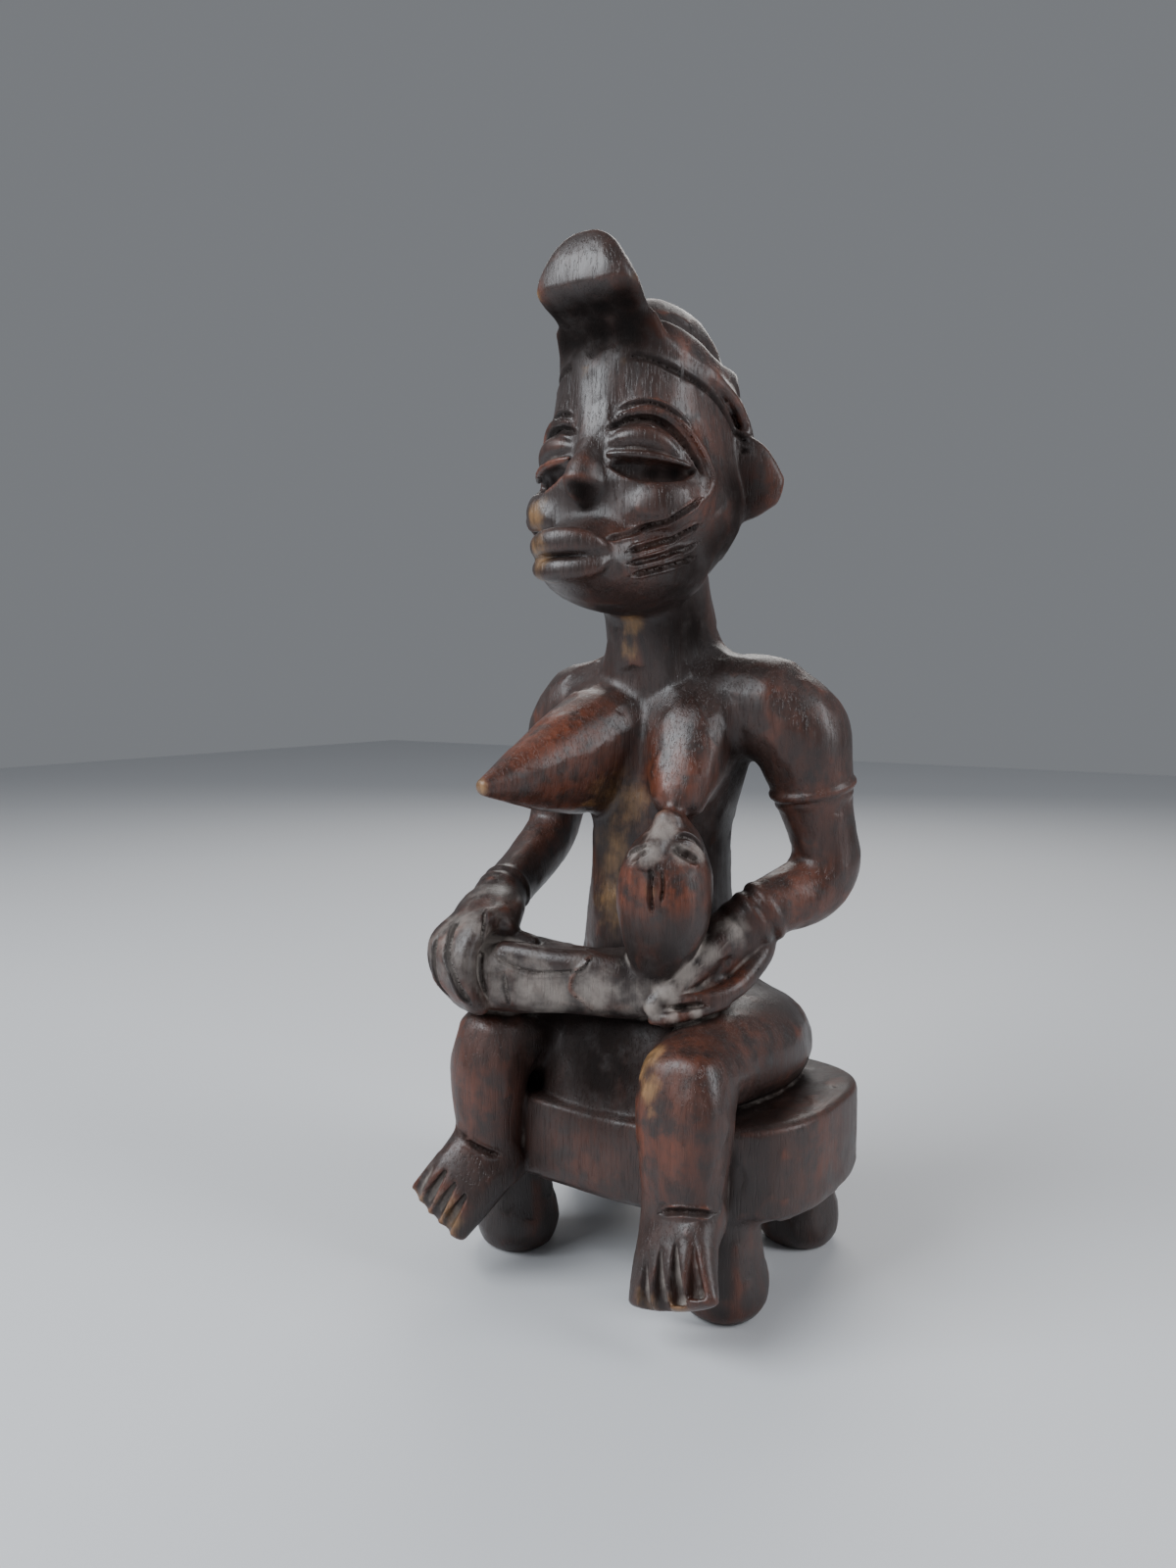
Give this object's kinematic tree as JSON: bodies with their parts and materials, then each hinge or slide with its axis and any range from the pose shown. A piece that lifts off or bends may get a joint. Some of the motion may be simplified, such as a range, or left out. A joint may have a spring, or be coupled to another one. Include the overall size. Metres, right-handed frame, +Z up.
{
  "type": "carved maternity figure",
  "caption": "Carved dark hardwood figure of a seated mother on a four-legged stool, nursing a child that lies across her lap, made from a single block",
  "frame": {"origin": "on the ground under the middle of the whole carving", "axes": "+Z up, the mother faces -Y, +X to her left"},
  "size_m": [0.127, 0.1089, 0.3116],
  "materials": {
    "wood": "dark stained hardwood, waxed and handled to an uneven gloss, worn red-brown on the raised edges, with pale dust in the hollows"
  },
  "bodies": {
    "root": {"maternity_figure": "wood"}
  },
  "joints": []
}
